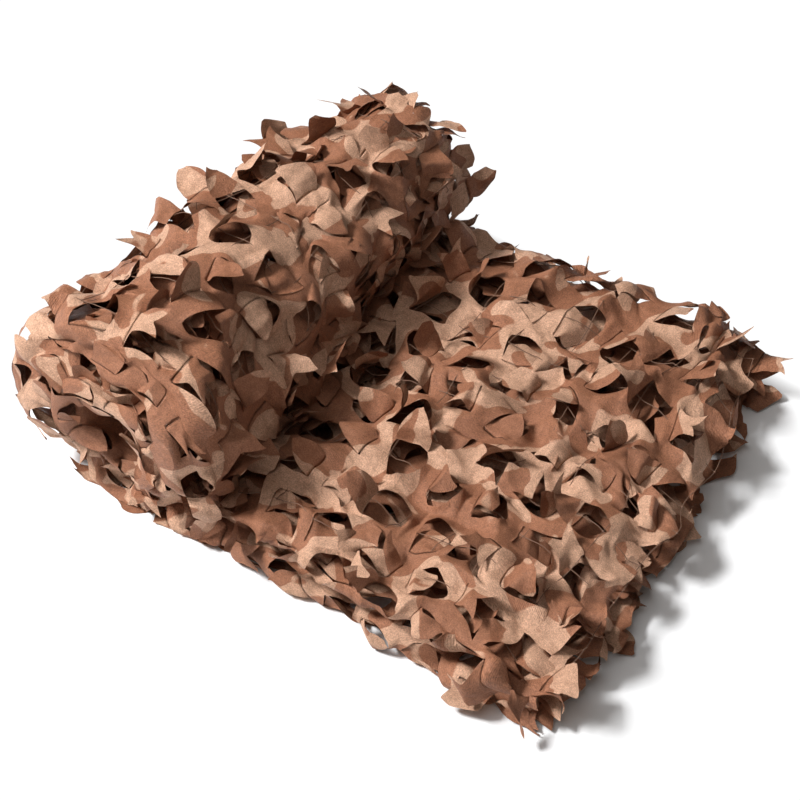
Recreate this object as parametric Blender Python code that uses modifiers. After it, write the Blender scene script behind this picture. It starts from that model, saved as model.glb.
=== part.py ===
"""A leaf-cut camouflage net, folded in four and part rolled up.

One length of cloth is slit all over, so that leaf-shaped tongues spring out of it and leave gaps.
It is folded back and forth in four layers to a strip, which lies flat at its free end (+X) and is
wound into a roll at the other (-X). The strip runs along X, its width along Y, and Z is up.
The folded layers are one bent sheet, cut through at the gaps of the net. The roll is one solid of
its wound form, with its leaves standing off it, and both are joined into a single solid.
"""

import math

import bmesh
import bpy
from mathutils import Matrix, Vector

# ---- Main sizes, in metres and degrees
SHEET = 0.0025  # thickness of the cloth in the solid
LAYERS = 4
LAYER_STEP = 0.0255  # from one layer to the next
LOWEST = 0.00135  # middle of the lowest layer above the floor
RUN_WIDTH = 0.476  # flat width of a layer between its folds
LEAF_PITCH_X = 0.0560  # from leaf to leaf along the strip
LEAF_ROWS = 9  # rows of leaves across the strip
LOWER_ROWS = 4  # rows of gaps across a covered layer
PAD_CELLS = 7  # leaves along the flat part
PAD_START = -0.0850  # where the flat part leaves the roll
PAD_SHIFT_Y = 0.008  # how far the flat part lies off the roll's middle
FOLD_CLOSED = (0, 3)  # cells where the folds have no gap
END_STRIP = 0.010  # uncut margin at the free end
END_SKEW = -0.038  # how far the free end slants at each side

CENTRE_X, CENTRE_Y = 0.01755, 0.00852  # middle of the whole, moved to the origin

ROLL_X = -0.1930  # roll's axis
ROLL_Z = 0.1085
ROLL_LENGTH = 0.488
ROLL_COLUMNS = 12  # leaves round the roll
ROLL_ROWS = 9
ROLL_NEAR, ROLL_FAR = 1.08, 0.93  # taper from the -Y end to the +Y end
ROLL_SKEW = 0.045  # how far the axis turns from Y, per metre
TURN = 0.054  # thickness of one turn of the folded strip in the roll
END_RELIEF = 0.016  # how far the turns stand out of the roll's ends
ROLL_HOLLOW = 0.011  # how deep the surface dips between leaves

LEAF_WIDTH = 0.029
LEAF_LENGTH = 0.040
LEAF_ROOT = 0.0028  # thickness of a leaf where it leaves the roll
TIP_LENGTH = 0.020  # pointed leaves along the edges of the layers
ROLL_SEED, PAD_SEED, EDGE_SEED = 60, 5, 52  # which of the chance leaf poses are used
LUMP = 0.0065  # unevenness of the upper layer

# The roll's outline: angle from the floor, over -X, and its radius there
ROLL_OUTLINE = (
    {"angle": 0, "radius": 0.1170},
    {"angle": 45, "radius": 0.1190},
    {"angle": 90, "radius": 0.1220},
    {"angle": 135, "radius": 0.1200},
    {"angle": 180, "radius": 0.1150},
    {"angle": 225, "radius": 0.1110},
    {"angle": 270, "radius": 0.1060},
    {"angle": 315, "radius": 0.1060},
    {"angle": 360, "radius": 0.1170},
)

# The six corners of a gap, as shares of the leaf's pitch and row, round its middle
GAP_CORNERS = (
    {"corner": "root right", "x": -0.29, "y": -0.29},
    {"corner": "side right", "x": 0.04, "y": -0.36},
    {"corner": "point right", "x": 0.35, "y": -0.14},
    {"corner": "point left", "x": 0.32, "y": 0.17},
    {"corner": "side left", "x": 0.02, "y": 0.35},
    {"corner": "root left", "x": -0.29, "y": 0.29},
)

# A leaf from its root to its tip: share of its length and half widths either side
LEAF_SECTIONS = (
    {"along": 0.50, "right": 0.48, "left": 0.46},
    {"along": 1.00, "right": 0.10, "left": 0.34},
)


def chance(*keys):
    """A fixed number from 0 to 1 for these whole numbers."""
    mixed = sum(k * f for k, f in zip(keys, (12.9898, 78.233, 37.719, 19.17)))
    value = math.sin(mixed) * 43758.5453
    return value - math.floor(value)


def between(low, high, share):
    return low + (high - low) * share


def smooth(low, high, value):
    share = min(1.0, max(0.0, (value - low) / (high - low)))
    return share * share * (3 - 2 * share)


def lumps(x, y):
    """Slow unevenness of the cloth, from about -1 to 1."""
    wave = math.sin(21 * x + 11 * y + 0.7) + math.sin(-17 * x + 26 * y + 2.1)
    return (wave + 0.7 * math.sin(43 * x + 29 * y + 4.0)) / 2.7


# ---- The folded part: a sheet that runs back and forth in four layers
def pad_column(index):
    """Distance along the strip of a half-cell line."""
    return PAD_START + index * LEAF_PITCH_X / 2


PAD_END = pad_column(2 * PAD_CELLS)


def layer_height(layer):
    return LOWEST + layer * LAYER_STEP


def settle(x, y, height):
    """Where a point of the stacked layers lies once the strip has settled."""
    share = (height - LOWEST) / (LAYER_STEP * (LAYERS - 1))
    to_end = smooth(PAD_END - 0.14, PAD_END + 0.02, x)
    to_roll = 1 - smooth(PAD_START - 0.02, PAD_START + 0.10, x)
    to_side = smooth(0.13, 0.25, abs(y))
    sink = 1 - 0.12 * to_end - 0.10 * to_roll - 0.04 * to_side
    z = LOWEST + (height - LOWEST) * sink + share * LUMP * lumps(x, y)
    layer = (height - LOWEST) / LAYER_STEP
    out_x = END_SKEW * y / RUN_WIDTH * 2 * to_end + 0.010 * to_end * math.sin(2.4 * layer + 9 * y)
    out_y = PAD_SHIFT_Y + 0.005 * math.sin(17 * x + 1.9 * layer)
    return Vector((x + out_x, y + out_y, z))


def frame_on_pad(x, y, height, up):
    """A point on a layer, its directions along x and y, and its outward side."""
    step = 0.004
    along = settle(x + step, y, height) - settle(x - step, y, height)
    across = settle(x, y + step, height) - settle(x, y - step, height)
    along.normalize()
    normal = along.cross(across).normalized()
    return settle(x, y, height), along, normal.cross(along), normal * up


class Net:
    """A sheet under construction: points kept by name, faces by their points."""

    def __init__(self):
        self.mesh = bmesh.new()
        self.points = {}

    def point(self, key, place):
        if key not in self.points:
            self.points[key] = self.mesh.verts.new(place)
        return self.points[key]

    def face(self, corners):
        return self.mesh.faces.new(corners)

    def finish(self, name):
        data = bpy.data.meshes.new(name)
        self.mesh.normal_update()
        self.mesh.to_mesh(data)
        self.mesh.free()
        return bpy.data.objects.new(name, data)


def tip(net, start, end, outward, drop, keys):
    """A pointed leaf on an edge of the cloth, running from start to end."""
    length = TIP_LENGTH * between(0.65, 1.30, chance(*keys, 1))
    lean = between(-0.22, 0.22, chance(*keys, 2))
    place = (start.co + end.co) / 2 + outward * length + (end.co - start.co) * lean
    place.z = max(LOWEST, place.z - drop * between(0.2, 1.3, chance(*keys, 3)))
    net.face((end, start, net.mesh.verts.new(place)))


def add_gap(net, border, centre, size, frame, turned, keys, leaf):
    """Faces of one cell round its gap, with the leaf that was cut from it."""
    middle, along, across, normal = frame
    sign = -1 if turned else 1
    half = len(border) // 2
    ring = border[half:] + border[:half] if turned else border
    swing = math.radians(between(-16, 16, chance(*keys, 1)))
    grow = between(0.86, 1.08, chance(*keys, 2))
    gap = []
    for row in GAP_CORNERS:
        u = sign * row["x"] * size[0] * grow
        v = sign * row["y"] * size[1] * grow
        u, v = u * math.cos(swing) - v * math.sin(swing), u * math.sin(swing) + v * math.cos(swing)
        gap.append(net.mesh.verts.new(middle + along * u + across * v))
    if len(ring) == len(gap):
        for i in range(6):
            k = (i + 1) % 6
            net.face((ring[i], ring[k], gap[k], gap[i]))
    else:
        net.face((ring[0], ring[1], gap[2], gap[1], gap[0]))
        net.face((ring[1], ring[2], gap[3], gap[2]))
        net.face((ring[2], ring[3], gap[5], gap[4], gap[3]))
        net.face((ring[3], ring[0], gap[0], gap[5]))
    if not leaf:
        return
    root_right, root_left = gap[0], gap[5]
    root = (root_right.co + root_left.co) / 2
    side = (root_left.co - root_right.co).normalized()
    ahead = side.cross(normal).normalized()
    lift = math.radians(between(36, 60, chance(*keys, 3)))
    curl = math.radians(between(-28, 22, chance(*keys, 4)))
    twist = between(-0.18, 0.18, chance(*keys, 5))
    length = LEAF_LENGTH * between(0.82, 1.12, chance(*keys, 6))
    width = LEAF_WIDTH * grow
    last, place, done = (root_left, root_right), root, 0.0
    for row in LEAF_SECTIONS:
        run = (row["along"] - done) * length
        place = place + (ahead * math.cos(lift) + normal * math.sin(lift)) * run
        done = row["along"]
        tilt = normal * twist * done * width
        left = net.mesh.verts.new(place + side * row["left"] * width + tilt)
        right = net.mesh.verts.new(place - side * row["right"] * width - tilt)
        net.face((last[0], last[1], right, left))
        last = (left, right)
        lift += curl


def add_upper_layer(net):
    """The layer that shows: every gap at its true pitch, with its leaf."""
    layer = LAYERS - 1
    height = layer_height(layer)
    row_width = RUN_WIDTH / LEAF_ROWS

    def corner(i, j):
        x, y = pad_column(i), -RUN_WIDTH / 2 + j * row_width
        if 0 < j < LEAF_ROWS and 0 < i < 2 * PAD_CELLS:
            x += 0.006 * (chance(i, j, 31) - 0.5)
            y += 0.010 * (chance(i, j, 32) - 0.5)
        place = settle(x, y, height)
        if 0 < j < LEAF_ROWS and i > 0:
            place.z += 0.007 * (chance(i, j, 33) - 0.5)
        return net.point((layer, i, j), place)

    for j in range(LEAF_ROWS):
        first = j % 2
        starts = list(range(first, 2 * PAD_CELLS - 1, 2))
        if first:
            net.face((corner(0, j), corner(1, j), corner(1, j + 1), corner(0, j + 1)))
            n = 2 * PAD_CELLS
            net.face((corner(n - 1, j), corner(n, j), corner(n, j + 1), corner(n - 1, j + 1)))
        for i in starts:
            border = [corner(i, j), corner(i + 1, j), corner(i + 2, j)]
            border += [corner(i + 2, j + 1), corner(i + 1, j + 1), corner(i, j + 1)]
            x = pad_column(i + 1)
            y = -RUN_WIDTH / 2 + (j + 0.5) * row_width
            frame = frame_on_pad(x, y, height, 1)
            turned = chance(i, j, 34) > (0.25 if j % 2 else 0.75)
            add_gap(net, border, (x, y), (LEAF_PITCH_X, row_width), frame, turned, (i, j, PAD_SEED), True)


def add_covered_layer(net, layer):
    """A layer under the upper one, its gaps cut at twice their pitch."""
    height = layer_height(layer)
    row_width = RUN_WIDTH / LOWER_ROWS
    back = layer % 2 == 0  # the cloth runs towards -Y in this layer

    def corner(i, j):
        y = -RUN_WIDTH / 2 + j * row_width
        place = settle(pad_column(i), y, height)
        return net.point((layer, i, j), place)

    for j in range(LOWER_ROWS):
        for i in range(0, 2 * PAD_CELLS, 2):
            border = [corner(i, j), corner(i + 2, j), corner(i + 2, j + 1), corner(i, j + 1)]
            if (i // 2 + j + layer) % 2 or i == 0:
                net.face(border[::-1] if back else border)
                continue
            x = pad_column(i + 1)
            y = -RUN_WIDTH / 2 + (j + 0.5) * row_width
            frame = frame_on_pad(x, y, height, 1)
            size = (LEAF_PITCH_X, LEAF_PITCH_X)
            before = len(net.mesh.faces)
            add_gap(net, border, (x, y), size, frame, False, (i, j, layer), False)
            if back:
                net.mesh.faces.ensure_lookup_table()
                for face in net.mesh.faces[before:]:
                    face.normal_flip()


def rows_of(layer):
    return LEAF_ROWS if layer == LAYERS - 1 else LOWER_ROWS


def add_fold(net, layer):
    """The fold from this layer to the next, with pointed leaves along it."""
    side = -1 if layer % 2 == 0 else 1
    height = layer_height(layer) + LAYER_STEP / 2
    bulge = RUN_WIDTH / 2 + LAYER_STEP / 2
    low_j = 0 if side < 0 else rows_of(layer)
    top_j = 0 if side < 0 else rows_of(layer + 1)
    fine_top = layer + 1 == LAYERS - 1

    def middle(i):
        y = side * (bulge + 0.004 * (chance(i, layer, 41) - 0.5))
        return net.point(("fold", layer, i), settle(pad_column(i), y, height))

    for i in range(0, 2 * PAD_CELLS, 2):
        low = [net.points[(layer, i, low_j)], net.points[(layer, i + 2, low_j)]]
        top = [net.points[(layer + 1, i, top_j)], net.points[(layer + 1, i + 2, top_j)]]
        if fine_top:
            top.insert(1, net.points[(layer + 1, i + 1, top_j)])
        mids = [middle(i), middle(i + 1), middle(i + 2)]
        lower = [low[0], low[1], *mids[::-1]]
        upper = [*mids, *top[::-1]]
        if side < 0:
            lower, upper = lower[::-1], upper[::-1]
        open_gap = i // 2 not in FOLD_CLOSED
        if not open_gap:
            net.face(lower)
        net.face(upper)
        if open_gap:
            for k in (0, 1):
                start, end = (mids[k], mids[k + 1]) if side > 0 else (mids[k + 1], mids[k])
                hang = Vector((0, 0.8 * side, -0.6))
                tip(net, start, end, hang, 0, (i + k, layer, EDGE_SEED))


def add_edges(net):
    """Pointed leaves along the cut edges: the free end and both free sides."""
    for layer in range(LAYERS):
        height = layer_height(layer)
        rows = rows_of(layer)
        parts = 2 if layer == LAYERS - 1 else 4
        back = layer % 2 == 0
        n = 2 * PAD_CELLS
        for j in range(rows):
            inner = [net.points[(layer, n, j)], net.points[(layer, n, j + 1)]]
            outer = []
            for k in range(parts + 1):
                y = -RUN_WIDTH / 2 + (j + k / parts) * RUN_WIDTH / rows
                key = ("end", layer, j * parts + k)
                outer.append(net.point(key, settle(pad_column(n) + END_STRIP, y, height)))
            face = [inner[0], *outer, inner[1]]
            net.face(face[::-1] if back else face)
            for k in range(parts):
                pair = (outer[k], outer[k + 1])
                start, end = (pair[1], pair[0]) if back else pair
                tip(net, start, end, Vector((1, 0, 0)), 0.004 * layer, (j * parts + k, layer, 51))
        if layer in (0, LAYERS - 1):
            step = 1 if layer else 2
            for i in range(step, n, step):
                pair = [net.points[(layer, i, rows)], net.points[(layer, i + step, rows)]]
                start, end = (pair[1], pair[0]) if layer else pair
                tip(net, start, end, Vector((0, 1, 0)), 0.008 * (layer > 0), (i, layer, EDGE_SEED))


def add_root(net):
    """The plain length of each layer that goes on into the roll."""
    inside = ROLL_X
    for layer in range(LAYERS):
        height = layer_height(layer)
        rows = rows_of(layer)
        back = layer % 2 == 0
        for j in range(rows):
            near = [net.points[(layer, 0, j)], net.points[(layer, 0, j + 1)]]
            far = []
            for m in (j, j + 1):
                y = (-RUN_WIDTH / 2 + m * RUN_WIDTH / rows) * 0.96
                far.append(net.point(("root", layer, m), settle(inside, y, height)))
            face = [far[0], near[0], near[1], far[1]]
            net.face(face[::-1] if back else face)


def build_pad():
    net = Net()
    for layer in range(LAYERS - 1):
        add_covered_layer(net, layer)
    add_upper_layer(net)
    for layer in range(LAYERS - 1):
        add_fold(net, layer)
    add_edges(net)
    add_root(net)
    bmesh.ops.recalc_face_normals(net.mesh, faces=net.mesh.faces)
    bmesh.ops.triangulate(net.mesh, faces=net.mesh.faces)
    pad = net.finish("folded_layers")
    wall = pad.modifiers.new("cloth thickness", "SOLIDIFY")
    wall.thickness = SHEET
    wall.offset = 0
    return pad


# ---- The rolled part: its wound form, with leaves standing off it
def roll_radius(angle):
    """Radius of the outline at an angle from the floor, in radians, over -X."""
    degrees = math.degrees(angle) % 360
    for a, b in zip(ROLL_OUTLINE, ROLL_OUTLINE[1:]):
        if degrees <= b["angle"]:
            share = smooth(a["angle"], b["angle"], degrees)
            return between(a["radius"], b["radius"], share)


def on_roll(angle, y, lift=0.0, shrink=1.0):
    """A point on the roll's surface, lifted off it."""
    taper = between(ROLL_NEAR, ROLL_FAR, y / ROLL_LENGTH + 0.5)
    uneven = 0.0045 * math.sin(3 * angle + 14 * y) + 0.004 * math.sin(5 * angle - 23 * y + 1)
    if shrink == 1.0:
        level = smooth(0.80, 0.95, math.cos(angle))
        uneven *= 1 - level
        lift = max(lift, lift * (1 - level))
    radius = (roll_radius(angle) * taper + uneven) * shrink + lift
    x = ROLL_X - ROLL_SKEW * y - radius * math.sin(angle)
    z = ROLL_Z * between(1.04, 0.96, y / ROLL_LENGTH + 0.5) - radius * math.cos(angle)
    return Vector((x, y, max(z, 0.0)))


def add_roll_leaf(net, hinge, angle, y, keys):
    """A thin leaf that stands off the roll, grown from its root on the surface."""
    step = 0.02
    round_it = (on_roll(angle + step, y) - on_roll(angle - step, y)).normalized()
    outward = round_it.cross(Vector((0, 1, 0))).normalized()
    if outward.dot(on_roll(angle, y) - Vector((ROLL_X - ROLL_SKEW * y, y, ROLL_Z))) < 0:
        outward = -outward
    low_side = math.cos(angle) > 0.12
    way = 1 if chance(*keys, 1) < 0.5 else -1
    if low_side:
        way = 1 if math.sin(angle) > 0 else -1
    swing = math.radians(between(-24, 24, chance(*keys, 2)))
    ahead = (round_it * math.cos(swing) + Vector((0, 1, 0)) * math.sin(swing)) * way
    lift = math.radians(between(26, 54, chance(*keys, 3)))
    curl = math.radians(between(-30, 12, chance(*keys, 4)))
    length = LEAF_LENGTH * between(0.75, 1.05, chance(*keys, 5))
    width = LEAF_WIDTH * between(0.9, 1.15, chance(*keys, 6))
    across = Vector((0, 1, 0)) - ahead * ahead.dot(Vector((0, 1, 0)))
    across.normalize()
    place = sum((corner.co for corner in hinge), Vector()) / 4
    last, done = hinge, 0.0
    for row in LEAF_SECTIONS:
        heading = ahead * math.cos(lift) + outward * math.sin(lift)
        facing = (ahead * math.sin(lift) - outward * math.cos(lift)) * way
        place = place + heading * (row["along"] - done) * length
        done = row["along"]
        thick = facing * between(LEAF_ROOT, SHEET * 0.7, done) / 2
        low, high = -row["right"] * width, row["left"] * width
        spots = (
            place + across * low + thick,
            place + across * low - thick,
            place + across * high - thick,
            place + across * high + thick,
        )
        new = [net.mesh.verts.new(spot) for spot in spots]
        for k in range(4):
            m = (k + 1) % 4
            net.face((last[k], last[m], new[m], new[k]))
        last = new
        lift += curl
    net.face(last)


def build_roll():
    net = Net()
    columns, rows = 2 * ROLL_COLUMNS, ROLL_ROWS
    row_width = ROLL_LENGTH / rows

    def corner(i, j):
        i %= columns
        angle = 2 * math.pi * i / columns
        y = -ROLL_LENGTH / 2 + j * row_width
        dip = -ROLL_HOLLOW * chance(i, j, 61) if 0 < j < rows else 0
        wander = 0.012 * (chance(i, j, 62) - 0.5)
        return net.point((i, j), on_roll(angle, y + wander, dip))

    for j in range(rows):
        for c in range(ROLL_COLUMNS):
            i = 2 * c + j % 2
            low = [corner(i, j), corner(i + 1, j), corner(i + 2, j)]
            top = [corner(i, j + 1), corner(i + 1, j + 1), corner(i + 2, j + 1)]
            angle = 2 * math.pi * (i + 1) / columns
            degrees = math.degrees(angle) % 360
            if degrees < 40 or degrees > 292:
                net.face((low[0], low[1], top[1], top[0]))
                net.face((low[1], low[2], top[2], top[1]))
                continue
            y = -ROLL_LENGTH / 2 + (j + 0.5) * row_width
            half = LEAF_ROOT / 2 / roll_radius(angle)
            wide = 0.40 * LEAF_WIDTH
            hinge = []
            for turn, shift in ((half, -wide), (-half, -wide), (-half, wide), (half, wide)):
                hinge.append(net.mesh.verts.new(on_roll(angle + turn, y + shift, 0.001)))
            right_low, left_low, left_top, right_top = hinge
            net.face((low[0], low[1], left_low))
            net.face((low[1], right_low, left_low))
            net.face((low[1], low[2], right_low))
            net.face((low[2], top[2], right_top, right_low))
            net.face((top[2], top[1], right_top))
            net.face((top[1], left_top, right_top))
            net.face((top[1], top[0], left_top))
            net.face((top[0], low[0], left_low, left_top))
            add_roll_leaf(net, hinge, angle, y, (c, j, ROLL_SEED))
    for end, j in ((-1, 0), (1, rows)):
        rings = [[corner(i, j) for i in range(columns)]]
        for k, shrink in enumerate((0.89, 0.76, 0.62, 0.48, 0.33, 0.17)):
            ring = []
            for i in range(columns):
                angle = 2 * math.pi * i / columns
                turns = angle / (2 * math.pi) + shrink * roll_radius(angle) / TURN
                relief = END_RELIEF * (0.5 + 0.5 * math.sin(2 * math.pi * turns))
                relief += 0.004 * (chance(i, k, 64 + end) - 0.5)
                y = end * (ROLL_LENGTH / 2 + relief + 0.006 * (1 - shrink))
                place = on_roll(angle, y, 0, shrink)
                ring.append(net.mesh.verts.new(place))
            rings.append(ring)
        for outer, inner in zip(rings, rings[1:]):
            for i in range(columns):
                k = (i + 1) % columns
                net.face((outer[i], outer[k], inner[k], inner[i]))
        net.face(rings[-1])
    bmesh.ops.recalc_face_normals(net.mesh, faces=net.mesh.faces)
    if net.mesh.calc_volume(signed=True) < 0:
        bmesh.ops.reverse_faces(net.mesh, faces=net.mesh.faces)
    return net.finish("camouflage_net")


# ---- Scene
for old in list(bpy.data.objects):
    bpy.data.objects.remove(old, do_unlink=True)

parts = bpy.data.collections.new("parts")
cutters = bpy.data.collections.new("cutters")
bpy.context.scene.collection.children.link(parts)
bpy.context.scene.collection.children.link(cutters)

cloth = bpy.data.materials.new("printed_polyester")
cloth.use_nodes = True
shader = cloth.node_tree.nodes["Principled BSDF"]
shader.inputs["Base Color"].default_value = (0.32, 0.19, 0.12, 1)
shader.inputs["Roughness"].default_value = 0.62
shader.inputs["Metallic"].default_value = 0.0

to_origin = Matrix.Translation((-CENTRE_X, -CENTRE_Y, 0))
layers = build_pad()
layers.data.transform(to_origin)
cutters.objects.link(layers)
layers.hide_render = True
layers.display_type = "WIRE"

net_body = build_roll()
net_body.data.transform(to_origin)
parts.objects.link(net_body)
net_body.data.materials.append(cloth)
join = net_body.modifiers.new("joined to its folded part", "BOOLEAN")
join.operation = "UNION"
join.object = layers
join.solver = "EXACT"
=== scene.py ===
"""A leaf-cut camouflage net, folded in four to a strip and part rolled up, on a pale floor."""

import bpy
import math
import numpy as np
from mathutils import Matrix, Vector


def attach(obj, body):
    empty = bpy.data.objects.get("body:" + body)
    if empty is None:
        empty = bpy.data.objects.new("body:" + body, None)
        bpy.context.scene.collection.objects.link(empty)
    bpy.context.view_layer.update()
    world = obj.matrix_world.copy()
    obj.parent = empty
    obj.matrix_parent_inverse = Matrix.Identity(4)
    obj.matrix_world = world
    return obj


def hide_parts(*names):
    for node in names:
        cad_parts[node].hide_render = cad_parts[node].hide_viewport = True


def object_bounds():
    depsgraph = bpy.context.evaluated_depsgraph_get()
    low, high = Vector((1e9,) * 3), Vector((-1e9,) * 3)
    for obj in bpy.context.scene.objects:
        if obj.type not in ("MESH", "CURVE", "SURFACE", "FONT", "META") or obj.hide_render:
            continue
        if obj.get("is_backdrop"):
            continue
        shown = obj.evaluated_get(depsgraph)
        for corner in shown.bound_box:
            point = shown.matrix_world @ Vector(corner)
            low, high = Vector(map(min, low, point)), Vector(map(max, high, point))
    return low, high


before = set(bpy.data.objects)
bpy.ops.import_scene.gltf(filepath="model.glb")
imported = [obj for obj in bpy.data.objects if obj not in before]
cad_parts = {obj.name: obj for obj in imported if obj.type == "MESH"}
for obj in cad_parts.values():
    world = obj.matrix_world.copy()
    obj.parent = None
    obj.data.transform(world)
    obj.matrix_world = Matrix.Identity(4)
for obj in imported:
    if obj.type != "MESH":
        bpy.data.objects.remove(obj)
cad_low, cad_high = (np.array(corner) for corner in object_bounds())


# ---- The flat part: lower layers
# The net is one length of thin printed polyester cloth, slit all over by a die in staggered rows
# of curved cuts. The tongue in each cut springs out as a leaf, and what stays joined between the
# gaps is a crooked lattice. It is folded back and forth to a strip of four layers, part laid flat.
LAYER_STEP = 0.0255
LOWEST = 0.00135
RUN_WIDTH = 0.476
FOLD_RADIUS = LAYER_STEP / 2
FOLD_ARC = math.pi * FOLD_RADIUS
PERIOD = RUN_WIDTH + FOLD_ARC
ROWS = 9
ROW_WIDTH = RUN_WIDTH / ROWS
PITCH = 0.0560
PAD_START = -0.0850
PAD_CELLS = 7
PAD_END = PAD_START + PAD_CELLS * PITCH
CENTRE = np.array([0.01755, 0.00852, 0.0])


def smooth(low, high, value):
    """0 up to low and 1 from high on, with an even change between."""
    share = np.clip((value - low) / (high - low), 0, 1)
    return share * share * (3 - 2 * share)


def span(low, high, share):
    return low + (high - low) * share


def chance(*keys):
    """A fixed number from 0 to 1 for these whole numbers."""
    factors = (12.9898, 78.233, 37.719, 19.17)
    mixed = sum(np.asarray(key, float) * factor for key, factor in zip(keys, factors))
    value = np.sin(mixed) * 43758.5453
    return value - np.floor(value)


def waves(x, y, size, seed, count=8):
    """Slow unevenness from about -1 to 1, with features of that size."""
    dice = np.random.default_rng(seed)
    total = 0.0
    for _ in range(count):
        turn, phase = dice.uniform(0, 2 * math.pi, 2)
        pace = 2 * math.pi / size * dice.uniform(0.55, 1.45)
        total = total + np.sin(pace * (x * math.cos(turn) + y * math.sin(turn)) + phase)
    return total / math.sqrt(count) * 0.9


def facets(x, y, size, seed):
    """Crumpled unevenness from -1 to 1: flat patches that meet in straight creases."""
    x = x + 0.30 * size * waves(x, y, 2.2 * size, seed, 5)
    y = y + 0.30 * size * waves(x, y, 2.2 * size, seed + 1, 5)
    i, j = x / size - y / size / math.sqrt(3), 2 * y / size / math.sqrt(3)
    low_i, low_j = np.floor(i), np.floor(j)
    i, j = i - low_i, j - low_j
    beyond = i + j > 1
    near = chance(low_i + beyond, low_j + beyond, seed)
    one_on, other_on = chance(low_i + 1, low_j, seed), chance(low_i, low_j + 1, seed)
    share_i, share_j = np.where(beyond, 1 - j, i), np.where(beyond, 1 - i, j)
    return 2 * (near + share_i * (one_on - near) + share_j * (other_on - near)) - 1


def row_line(row):
    """How far across the unfolded net a row of leaves starts."""
    layer = np.clip(np.floor(row / (ROWS + 1)), 0, 3)
    inside = row - layer * (ROWS + 1)
    past = np.where(layer < 3, np.clip(inside - ROWS, 0, 1), 0)
    run = np.where(layer < 3, np.minimum(inside, ROWS), inside)
    return layer * PERIOD + run * ROW_WIDTH + past * FOLD_ARC


def folded(t):
    """Across the strip and up through its layers, for a distance across the unfolded net."""
    layer = np.clip(np.floor(t / PERIOD), 0, 3)
    rest = t - layer * PERIOD
    side = np.where(layer % 2 == 0, -1.0, 1.0)
    arc = np.where(layer < 3, np.clip((rest - RUN_WIDTH) / FOLD_RADIUS, 0, math.pi), 0)
    run = np.where(layer < 3, np.minimum(rest, RUN_WIDTH), rest)
    across = side * (run - RUN_WIDTH / 2) + side * FOLD_RADIUS * np.sin(arc)
    up = LOWEST + layer * LAYER_STEP + FOLD_RADIUS * (1 - np.cos(arc))
    return across, up


def lumps(x, y):
    """The slow unevenness of the whole stack, from about -1 to 1."""
    wave = np.sin(21 * x + 11 * y + 0.7) + np.sin(-17 * x + 26 * y + 2.1)
    return (wave + 0.7 * np.sin(43 * x + 29 * y + 4.0)) / 2.7


# How the stack has settled, as shares of its height at its cut end, towards the roll, in the nip
# below the roll and along its sides, and how far it droops at the cut end.
SETTLED = {"end": 0.12, "roll": 0.06, "nip": 0.15, "side": 0.04}
END_DROOP = 0.22
LUMP = 0.0065
FAR_DROOP = 0.022
# How far the cut end is askew, its layers step past each other and its corner is drawn, and how
# far the sides spread.
END_SKEW, END_STEP = 0.038, 0.010
CORNER_BACK, CORNER_OUT = 0.031, 0.028
FAR_SPREAD, NEAR_SPREAD = 0.032, 0.006


def on_pad(u, t):
    """Where the net lies in the flat part, for a place on the net laid out."""
    y, up = folded(t)
    share = (up - LOWEST) / (LAYER_STEP * 3)
    to_end = smooth(PAD_END - 0.14, PAD_END + 0.02, u)
    to_roll = 1 - smooth(PAD_START - 0.02, PAD_START + 0.10, u)
    to_side = smooth(0.13, 0.25, np.abs(y))
    nip = 1 - smooth(PAD_START + 0.015, PAD_START + 0.085, u)
    sink = 1 - SETTLED["end"] * to_end - SETTLED["roll"] * to_roll
    sink = sink - SETTLED["nip"] * nip - SETTLED["side"] * to_side
    z = LOWEST + (up - LOWEST) * sink + share * LUMP * lumps(u, y)
    z = z * (1 - END_DROOP * smooth(PAD_END - 0.05, PAD_END + 0.02, u))
    z = z - FAR_DROOP * share**3 * smooth(0.200, 0.275, y)

    layer = (up - LOWEST) / LAYER_STEP
    corner = to_end * smooth(0.05, 0.24, y)
    x = u - END_SKEW * y / RUN_WIDTH * 2 * to_end + END_STEP * to_end * np.sin(2.4 * layer + 9 * y)
    x = x - CORNER_BACK * corner - to_end * (0.008 + 0.008 * smooth(0.02, 0.18, -y))
    y = y + 0.008 + 0.005 * np.sin(17 * u + 1.9 * layer) + CORNER_OUT * corner
    y = y + FAR_SPREAD * smooth(0.10, 0.24, y) * (0.5 + 0.5 * smooth(0.0, 0.12, u))
    y = y - NEAR_SPREAD * smooth(0.10, 0.24, -y) * (1 - 0.4 * to_end)
    return np.stack([x, y, z], -1) - CENTRE


# The slack of the cloth, each as its height and the size of its features: slow waves, then
# patches between creases, coarse and fine. The cloth also slips sideways in its own plane.
SLACK = ((waves, 0.0040, 0.090, 21), (facets, 0.0128, 0.048, 23), (facets, 0.0042, 0.021, 22))
SLIP, SLIP_SIZE = 0.0060, 0.120


def laid(place, facing, rough, u, t, height):
    """Points of cloth laid in place with its slack, and the ways along, across and out there."""
    slack = rough * sum(rise * uneven(u, t, size, seed) for uneven, rise, size, seed in SLACK)
    u, t = u + SLIP * waves(u, t, SLIP_SIZE, 28), t + SLIP * waves(u, t, SLIP_SIZE, 29)
    nudge = 0.002
    ways = [place(u + nudge, t) - place(u - nudge, t), place(u, t + nudge) - place(u, t - nudge)]
    ways.append(facing * np.cross(*ways))
    ways = [way / np.maximum(np.linalg.norm(way, axis=-1, keepdims=True), 1e-9) for way in ways]
    return place(u, t) + ways[2] * (height + slack)[..., None], ways


# How far leaves may stand out along, across and above the solid, and how near the floor they are
# eased back and where they come to rest above it.
LEAF_REACH = (0.026, 0.022, 0.013)
FLOOR_NEAR, FLOOR_GAP = 0.0060, 0.0006


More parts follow.
